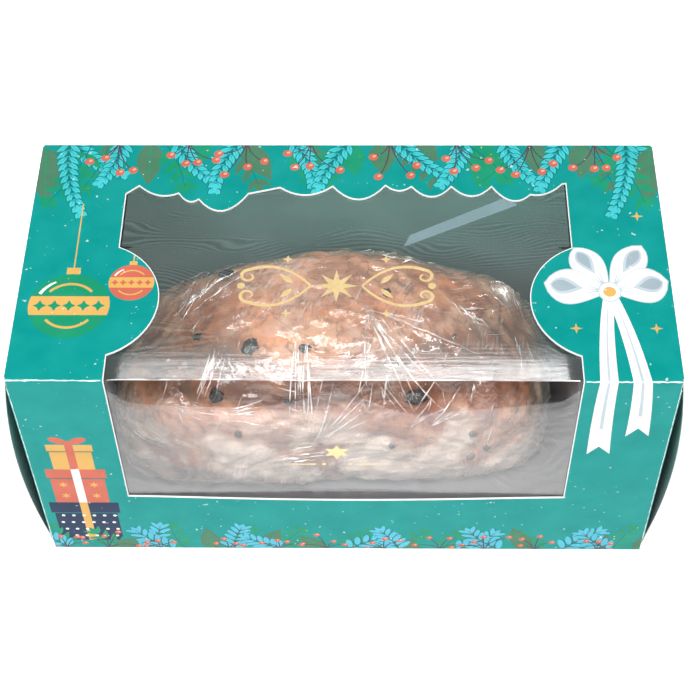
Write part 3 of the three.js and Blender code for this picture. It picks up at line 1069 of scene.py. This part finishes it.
def icosphere(subdivisions):
    """Directions all round, and the triangles between them."""
    import bmesh
    ball = bmesh.new()
    bmesh.ops.create_icosphere(ball, subdivisions=subdivisions, radius=1)
    directions = [vertex.co.copy() for vertex in ball.verts]
    faces = [[vertex.index for vertex in face.verts] for face in ball.faces]
    ball.free()
    return directions, faces


def grow_to_loaf(point):
    """How much a point, measured from the loaf's centre, has to grow to reach the smooth loaf."""
    above = point.z > 0
    depth = LOAF_TOP - LOAF_CENTRE.z if above else LOAF_CENTRE.z - LOAF_FLOOR + 2
    power = DOME_POWER if above else BASE_POWER
    end_power = blend(BASE_END_POWER, TOP_END_POWER, smooth(point.z, 0, LOAF_HALF_WIDTH))
    across = abs(point.y / LOAF_HALF_WIDTH) ** power
    upright = abs(point.z / depth) ** power
    along = abs(point.x / LOAF_HALF_LENGTH) ** end_power
    return ((across + upright) ** (end_power / power) + along) ** (-1 / end_power)


def dough_relief(point):
    """Swells, crags and the dough's lengthwise fold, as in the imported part."""
    swell = math.sin(point.x / 13 + 1.2) * math.cos(point.y / 11 + point.z / 17)
    crag = math.sin(point.x / 3.1 + point.y / 2.3) * math.sin(point.z / 2.7 - point.x / 4.9)
    fold_line = FOLD_LEVEL - LOAF_CENTRE.z + 3 * math.sin(point.x / 28)
    from_fold = (point.z - fold_line) / FOLD_SPREAD
    on_front = 1 if point.y < 0 else 0
    along_fold = max(1 - (point.x / (0.8 * LOAF_HALF_LENGTH)) ** 2, 0)
    fold = on_front * along_fold * math.exp(-from_fold * from_fold)
    return SWELL * swell + CRAG * crag - FOLD_DEPTH * fold


def crust_relief(point):
    """Finer lumps, and shallow cracks where the crust has split."""
    lumps = noise.fractal(point / 9, 0.9, 2.1, 4)
    split = abs(noise.noise(point / 16 + Vector((7, 0, 3)))) * 6
    return 0.55 * lumps - 0.9 * max(1 - split, 0) ** 2


def loaf_point(direction, extra=None, lift=0.0):
    """A point on the loaf, with any extra relief on top of the dough's."""
    point = direction * grow_to_loaf(direction)
    flatten = (LOAF_HALF_WIDTH / LOAF_HALF_LENGTH) ** 2
    outward = Vector((point.x * flatten, point.y, point.z)).normalized()
    rise = dough_relief(point) + lift
    if extra:
        rise += extra(point)
    place = point + outward * rise
    place.rotate(Euler((0, 0, LOAF_TURN)))
    place += LOAF_CENTRE
    return place, outward


def raisin_bearings():
    for lean, degrees, size in RAISINS:
        angle = math.radians(degrees)
        across = -LOAF_HALF_WIDTH * math.cos(angle)
        yield Vector((lean, across, LOAF_HALF_WIDTH * math.sin(angle))), size


def stretched_ball(subdivisions):
    directions, faces = icosphere(subdivisions)
    size = Vector((LOAF_HALF_LENGTH, LOAF_HALF_WIDTH, LOAF_HALF_WIDTH))
    return [direction * size for direction in directions], faces


def build_loaf():
    bearings, faces = stretched_ball(LOAF_SUBDIVISIONS)
    points = []
    for bearing in bearings:
        place, _ = loaf_point(bearing, crust_relief)
        place.z = max(place.z, LOAF_FLOOR)
        points.append(place)
    return piece("stollen_loaf", points, faces, [crust_material()], "crust", "stollen")


def build_raisins():
    """Shrunken raisins, each half sunk and lying flat to the crust."""
    directions, ball_faces = icosphere(4)
    points, faces = [], []
    for i, (bearing, size) in enumerate(raisin_bearings()):
        place, _ = loaf_point(bearing)
        outward = Vector((0.4 * bearing.x, bearing.y, bearing.z)).normalized()
        spin = outward.to_track_quat("Z", "Y") @ Quaternion((0, 0, 1), i * GOLDEN_ANGLE)
        base = len(points)
        for direction in directions:
            folds = noise.noise(Vector((direction.x * 1.1, direction.y * 2.6, i * 5.1)) * 1.6)
            shrink = 1 + 0.3 * folds - 0.14 * abs(math.sin(5 * direction.y + 3 * folds))
            points.append(place + spin @ (direction * RAISIN_RADII * shrink * size))
        faces += [[base + j for j in face] for face in ball_faces]
    return piece("raisins", points, faces, [raisin_material()], "raisin", "stollen")


def unrolled(point):
    """Where a point is on the wrap laid flat: along the loaf, and degrees up from the front."""
    return complex(point.x, math.degrees(math.atan2(point.z, -point.y)))


def bearing_of(spot):
    """The bearing from the loaf's centre to a spot on the unrolled wrap."""
    angle = math.radians(spot.imag)
    bearing = Vector((spot.real / 1.5, -math.cos(angle), math.sin(angle)))
    bearing.yz *= LOAF_HALF_WIDTH
    for _ in range(7):
        ball = Vector((bearing.x / LOAF_HALF_LENGTH, *(bearing.yz / LOAF_HALF_WIDTH)))
        reach = bearing.x * grow_to_loaf(bearing / ball.length) / ball.length
        if abs(reach) > 1e-6:
            bearing.x *= spot.real / reach
    return bearing / Vector((bearing.x / LOAF_HALF_LENGTH, *(bearing.yz / LOAF_HALF_WIDTH))).length


def sheaf_rise(spot, start, scatter, heading, spread, count, reach):
    """Broad creases that fan out from where the wrap is drawn together."""
    away = spot - start
    distance = abs(away)
    if distance > reach or not distance:
        return 0.0
    off = (math.degrees(cmath.phase(away)) - heading + 180) % 360 - 180
    inside = 1 - smooth(abs(off), 0.5 * spread, 0.5 * spread + 25)
    ray = abs(math.sin(math.radians(off) * count * 0.5 * 180 / max(spread, 30)))
    fade = smooth(distance, 0, 6) * (1 - smooth(distance, 0.5 * reach, reach))
    return inside * fade * (1 - ray) ** 2


def wrap_creases(point):
    """Creases, slack folds and the tuft of loose wrap at the right shoulder."""
    spot = unrolled(point)
    rise = 0.9 * sum(sheaf_rise(spot, *sheaf) for sheaf in SHEAVES)
    slack = noise.noise(Vector((point.x / 17, point.y / 8, point.z / 8)) + Vector((3, 5, 9)))
    rise += 0.8 * max(1 - 7 * abs(slack), 0) ** 2
    fine = noise.noise(Vector((point.x / 6, point.y / 4, point.z / 5)))
    rise += 0.5 * max(1 - 6 * abs(fine), 0) ** 2
    from_tuft = abs(spot - TUFT) / TUFT_REACH
    crumple = 1 + 0.5 * noise.noise(Vector((spot.real / 4, spot.imag / 4, 8)))
    return rise + TUFT_HEIGHT * crumple * math.exp(-from_tuft * from_tuft)


def tent_rise(place, tent, size):
    """How far the wrap stands up over a raisin."""
    distance = (place - tent).length / (RAISIN_TENT_SPREAD * size)
    return RAISIN_TENT * size * math.exp(-distance * distance)


def wrap_point(bearing, tents):
    """A point on the wrap, and the way out from it."""
    place, outward = loaf_point(bearing, crust_relief, WRAP_GAP)
    outward.rotate(Euler((0, 0, LOAF_TURN)))
    rise = max(tent_rise(place, tent, size) for tent, size in tents)
    place += outward * (rise + wrap_creases(bearing * grow_to_loaf(bearing)))
    place.z = max(place.z, CARD + 0.1)
    return place, outward


def raisin_tents():
    return [(loaf_point(bearing)[0], size) for bearing, size in raisin_bearings()]


def build_wrap():
    bearings, faces = stretched_ball(LOAF_SUBDIVISIONS)
    tents = raisin_tents()
    points = [wrap_point(bearing, tents)[0] for bearing in bearings]
    wrap = piece("cling_wrap", points, faces, [wrap_material()], "cling_wrap", "stollen")
    nearness = wrap.data.attributes.new(OVER_RAISIN, "FLOAT", "POINT")
    rises = [max(tent_rise(point, tent, size) for tent, size in tents) for point in points]
    nearness.data.foreach_set("value", [rise / RAISIN_TENT for rise in rises])
    return wrap


def crease_paths():
    """Fine creases on the unrolled wrap, each with its width: in sheaves, and loose."""
    rng = random.Random(17)
    for start, scatter, heading, spread, count, reach in SHEAVES:
        for _ in range(count):
            first = start + cmath.rect(scatter * rng.random(), rng.uniform(0, 2 * math.pi))
            aim = heading + spread * rng.uniform(-0.5, 0.5)
            yield bent_spine(first, aim, reach * rng.uniform(0.3, 1), rng.uniform(-0.08, 0.08)), (
                rng.uniform(0.3, 0.75))
    for _ in range(LOOSE_CREASES):
        first = complex(rng.uniform(-92, 92), rng.uniform(-4, 176))
        aim = 180 * noise.noise(Vector((first.real / 30, first.imag / 30, 4))) + rng.uniform(-35, 35)
        yield bent_spine(first, aim + 60, rng.uniform(3, 11), rng.uniform(-0.2, 0.2)), (
            rng.uniform(0.18, 0.42))


def build_creases():
    """The wrap's fine creases, as thin raised folds that taper to both ends."""
    tents = raisin_tents()
    points, faces = [], []
    for path, width in crease_paths():
        steps = max(round(abs(path[-1] - path[0]) / CREASE_STEP), 4)
        rows = len(points)
        for i in range(steps + 1):
            share = i / steps
            spot, ahead = heading_of(path, share)
            half = 0.5 * width * max(math.sin(math.pi * share), 0.05) ** 0.6
            for side in (-1, 0, 1):
                place, outward = wrap_point(bearing_of(spot + 1j * side * half * ahead), tents)
                points.append(place + outward * (0.15 if side else 0.15 + 1.3 * half))
        for i in range(steps):
            for edge in (0, 1):
                first = rows + 3 * i + edge
                faces.append((first, first + 1, first + 4, first + 3))
    return piece("wrap_creases", points, faces, [crease_material()], "cling_wrap", "stollen")


def over_fold(material, height, back):
    """1 in the dark band over the dough's fold, on the loaf's front, and 0 elsewhere."""
    off = sums(material, "ABSOLUTE", sums(material, "SUBTRACT", height, DARK_LEVEL * MM), 0.0)
    return sums(material, "MULTIPLY", span(material, off, 0.013, 0.007), span(material, back, 0, -0.01))


def crust_material():
    """Baked crust: orange to brown-red, granular, cracked in places, creamier low down; it is made paler
    towards the top as painted light, brighter in its cream patches low down, partly as painted light, and
    darker over the fold, partly as painted shade.
    """
    material = new_material("crust")
    place = place_on_object(material)
    back, height = (node(material, "SeparateXYZ", {"Vector": place}, output=axis) for axis in "YZ")
    # painted light: the crust is mixed paler towards the top of the loaf
    painted_top_light = span(material, height, 0.071, 0.082, 0.0, 0.3)
    broad = mottle(material, place, 26, 4, 0.4)
    fine = mottle(material, place, 230, 6)
    cracks = mottle(material, place, 48, 5, 0.9)
    baked = mix_colours(material, span(material, broad, 0.4, 0.62), CRUST_DARK, CRUST_ORANGE)
    grains = sums(material, "MULTIPLY", span(material, fine, 0.5, 0.64), 0.6)
    peaks = span(material, mottle(material, place, 75, 4, 0.6), 0.5, 0.66, 0, 0.75)
    paler = mix_colours(material, peaks, baked, CRUST_PALE)
    painted_top_lit = mix_colours(material, painted_top_light, paler, CRUST_PALE)
    speckled = mix_colours(material, grains, painted_top_lit, CRUST_DARK)
    from_line = sums(material, "ABSOLUTE", sums(material, "SUBTRACT", cracks, 0.5), 0.0)
    split = sums(material, "MULTIPLY", span(material, from_line, 0.012, 0.0), 0.7)
    cracked = mix_colours(material, split, speckled, CRUST_CRACK)
    # paler cream patches low down, partly painted light that brightens the loaf's bottom
    low = span(material, height, 0.054, 0.03, 0.04, 1.0)
    patches = span(material, mottle(material, place, 40, 5, 0.5), 0.45, 0.54)
    sugar_and_painted_light = sums(material, "MULTIPLY", sums(material, "MULTIPLY", low, patches), 0.82)
    # painted shade: the crust is darkened in a band over the fold, on the loaf's front
    uneven = span(material, mottle(material, place, 90, 4), 0.36, 0.6, 0.62, 0.97)
    dark = sums(material, "MULTIPLY", over_fold(material, height, back), uneven)
    folded = mix_colours(material, dark, cracked, CRUST_FOLD_AND_PAINTED_SHADE)
    colour = mix_colours(material, sugar_and_painted_light, folded, SUGAR_AND_PAINTED_LIGHT)
    relief = sums(material, "ADD", fine, sums(material, "MULTIPLY", broad, 2.0))
    sockets = {
        "Base Color": colour,
        "Roughness": span(material, fine, 0.3, 0.7, 0.5, 0.75),
        "Normal": bump(material, relief, 0.8, 0.9),
    }
    return finish_material(material, node(material, "BsdfPrincipled", sockets))


def raisin_material():
    material = new_material("raisin skin")
    place = place_on_object(material)
    wrinkles = mottle(material, place, 420, 3, 0.8)
    colour = mix_colours(material, wrinkles, (0.003, 0.003, 0.004), (0.025, 0.022, 0.022))
    sockets = {
        "Base Color": colour,
        "Roughness": span(material, wrinkles, 0.3, 0.7, 0.28, 0.5),
        "Normal": bump(material, wrinkles, 0.5, 0.7),
    }
    return finish_material(material, node(material, "BsdfPrincipled", sockets))


def crease_material():
    """A fold in the wrap: it mirrors and scatters light, more in some stretches than in others."""
    material = new_material("creased wrap")
    place = place_on_object(material)
    cover = span(material, mottle(material, place, 190, 3), 0.36, 0.6, 0.2, 0.95)
    white = node(material, "BsdfDiffuse", {"Color": (0.8, 0.7, 0.65, 1)})
    gloss = node(material, "BsdfAnisotropic", {"Color": (1, 1, 1, 1), "Roughness": 0.15})
    fold = node(material, "MixShader", {0: 0.25, 1: white, 2: gloss})
    clear = node(material, "BsdfTransparent", {})
    return finish_material(material, node(material, "MixShader", {0: cover, 1: clear, 2: fold}))


def unrolled_place(material, place):
    """The wrap laid flat, in metres: along the loaf, and a millimetre to each degree round it."""
    centre = (0, LOAF_CENTRE.y * MM, LOAF_CENTRE.z * MM)
    local = node(material, "VectorMath", {0: place, 1: centre}, operation="SUBTRACT")
    along, back, up = (node(material, "SeparateXYZ", {"Vector": local}, output=axis) for axis in "XYZ")
    forward = sums(material, "MULTIPLY", back, -1.0)
    angle = sums(material, "ARCTAN2", up, forward)
    arc = sums(material, "MULTIPLY", angle, math.degrees(1) * MM)
    return node(material, "CombineXYZ", {"X": along, "Y": arc})


def painted_glint_lines(material, flat, heading, seed, width, share):
    """Patches of fine straight lines where the wrap is drawn tight one way, as painted highlights."""
    turn = (0, 0, math.radians(-heading))
    turned = node(material, "Mapping", {"Vector": flat, "Rotation": turn, "Location": (0, 0, seed)})
    stretched = node(material, "Mapping", {"Vector": turned, "Scale": (26, 520, 1)})
    lines = mottle(material, stretched, 1.0, 2)
    off = sums(material, "ABSOLUTE", sums(material, "SUBTRACT", lines, 0.5), 0.0)
    here = span(material, mottle(material, turned, 42, 3), 0.54, 0.64)
    thin = span(material, off, width, 0.0)
    return sums(material, "MULTIPLY", sums(material, "MULTIPLY", thin, here), share)


def wrap_facets(material, place):
    """A different colour for each of the flat facets that the wrap is crumpled into."""
    stretched = node(material, "Mapping", {"Vector": place, "Scale": (0.8, 1, 1.3)})
    bend = node(material, "VectorMath", {
        0: node(material, "TexNoise", {"Vector": place, "Scale": 60.0}, output="Color"),
        1: (0.008, 0.008, 0.008)}, operation="MULTIPLY")
    moved = node(material, "VectorMath", {0: stretched, 1: bend}, operation="ADD")
    return node(material, "TexVoronoi", {"Vector": moved, "Scale": 110.0}, output="Color")


def over_raisin(material):
    """How near the wrap is to a raisin under it."""
    return node(material, "Attribute", {}, output="Fac", attribute_name=OVER_RAISIN)


def wrap_mirror(material):
    """The wrap mirrors less where it clings to a raisin."""
    return span(material, over_raisin(material), 0.05, 0.4, 0.075, 0.02)


def wrap_haze(material, place):
    """Milky patches where the wrap stands off, hazy facets, and lines where it is drawn tight, which are
    painted highlights; the haze is thicker low down, partly as painted light, and thinner over the fold as
    painted shade.
    """
    flat = unrolled_place(material, place)
    total = 0.025
    # painted highlights: thin white lines of haze standing for glints on the wrap
    for heading, seed in ((84, 0.1), (24, 0.5), (-38, 0.9), (58, 1.3)):
        lines = painted_glint_lines(material, flat, heading, seed, 0.04, 0.26)
        total = sums(material, "ADD", lines, total)
    facet = node(material, "SeparateXYZ", {"Vector": wrap_facets(material, place)}, output="X")
    milky = span(material, mottle(material, place, 30, 4, 0.6), 0.44, 0.64)
    hazy = sums(material, "MULTIPLY", span(material, facet, 0.2, 1.0), milky)
    total = sums(material, "ADD", total, sums(material, "MULTIPLY", hazy, 0.2))
    back, height = (node(material, "SeparateXYZ", {"Vector": place}, output=axis) for axis in "YZ")
    # more haze towards the bottom, partly painted light that brightens the loaf's low part
    low = span(material, height, 0.055, 0.03, 0.0, 1.0)
    clouds = span(material, mottle(material, place, 36, 5, 0.7), 0.42, 0.6, 0.0, 0.3)
    total = sums(material, "ADD", total, sums(material, "MULTIPLY", low, clouds))
    # painted shade: less haze over the fold, which darkens the band there
    tight = span(material, over_fold(material, height, back), 0, 1, 1.0, 0.25)
    clearer = span(material, over_raisin(material), 0.05, 0.4, 1.0, 0.06)
    total = sums(material, "MULTIPLY", sums(material, "MULTIPLY", total, tight), clearer)
    return sums(material, "MINIMUM", total, 0.75)


def wrap_bump(material, place):
    """Facets that each lean their own way, with fine crumples between."""
    lean = node(material, "VectorMath", {
        0: node(material, "VectorMath", {
            0: wrap_facets(material, place), 1: (0.5, 0.5, 0.5)}, operation="SUBTRACT"),
        1: (0.5, 0.5, 0.5)}, operation="MULTIPLY")
    wide = mottle(material, place, 60, 4, 1.2)
    fine = mottle(material, place, 260, 3, 0.8)
    total = sums(material, "ADD", wide, sums(material, "MULTIPLY", fine, 0.4))
    normal = bump(material, total, 1.2, 0.9)
    leaning = node(material, "VectorMath", {0: normal, 1: lean}, operation="ADD")
    return node(material, "VectorMath", {0: leaning}, operation="NORMALIZE")


def wrap_material():
    return clear_film("cling wrap", wrap_mirror, 0.11, wrap_haze, (0.92, 0.79, 0.72), wrap_bump)


# Stage: floor, light and camera


def build_floor():
    half = 6.0
    corners = [(-half, -half, 0), (half, -half, 0), (half, half, 0), (-half, half, 0)]
    mesh = bpy.data.meshes.new("floor")
    mesh.from_pydata(corners, [], [(0, 1, 2, 3)])
    floor = bpy.data.objects.new("floor", mesh)
    bpy.context.scene.collection.objects.link(floor)
    material = new_material("white table")
    tone = mottle(material, place_on_object(material), 3, 2)
    sockets = {
        "Base Color": mix_colours(material, tone, (0.86, 0.86, 0.86), (0.9, 0.9, 0.9)),
        "Roughness": 0.6,
        "Emission Color": (1, 1, 1, 1),
        "Emission Strength": 0.42,
    }
    finish_material(material, node(material, "BsdfPrincipled", sockets))
    mesh.materials.append(material)


def area_light(name, place, aim, size, power):
    data = bpy.data.lights.new(name, "AREA")
    data.shape = "RECTANGLE"
    data.size, data.size_y = size
    data.energy = power
    light = bpy.data.objects.new(name, data)
    light.location = place
    light.rotation_euler = (Vector(aim) - Vector(place)).to_track_quat("-Z", "Y").to_euler()
    bpy.context.scene.collection.objects.link(light)


def build_light():
    world = bpy.data.worlds.new("studio")
    world.use_nodes = True
    world.node_tree.nodes["Background"].inputs["Color"].default_value = (0.93, 0.97, 1, 1)
    world.node_tree.nodes["Background"].inputs["Strength"].default_value = 0.26
    bpy.context.scene.world = world
    area_light("overhead softbox", (0, -0.38, 1.2), (0, 0, 0), (2.2, 0.3), 17.5)
    area_light("right softbox", (0.26, -0.38, 1.15), (0, 0, 0), (0.45, 0.3), 4.5)
    area_light("front softbox", (0, -1.2, 1.2), (0, 0, 0), (2.2, 0.8), 7)
    area_light("left softbox", (-0.8, -1.1, 1.2), (0, 0, 0), (0.8, 0.8), 15)
    area_light("back softbox", (0, 1.4, 0.6), (0, 0, 0), (1.6, 0.5), 8.5)
    bpy.context.scene.view_settings.view_transform = "Standard"


def build_camera():
    """The camera that took the photograph, solved from the carton's corners."""
    data = bpy.data.cameras.new("camera")
    data.lens = 83.74
    data.sensor_width = 36
    data.clip_start = 0.01
    camera = bpy.data.objects.new("camera", data)
    camera.location = (0.01067, -0.39411, 0.58480)
    right = Vector((0.99989505, 0.01051979, -0.00996081))
    up = Vector((-0.00243968, 0.80000116, 0.5999935))
    back = -Vector((-0.01428046, 0.59990623, -0.79994287))
    from mathutils import Matrix
    camera.rotation_euler = Matrix((right, up, back)).transposed().to_euler()
    bpy.context.scene.collection.objects.link(camera)
    bpy.context.scene.camera = camera


build_camera()
build_light()
build_floor()
build_carton()
build_film()
build_loaf()
build_raisins()
build_wrap()
build_creases()
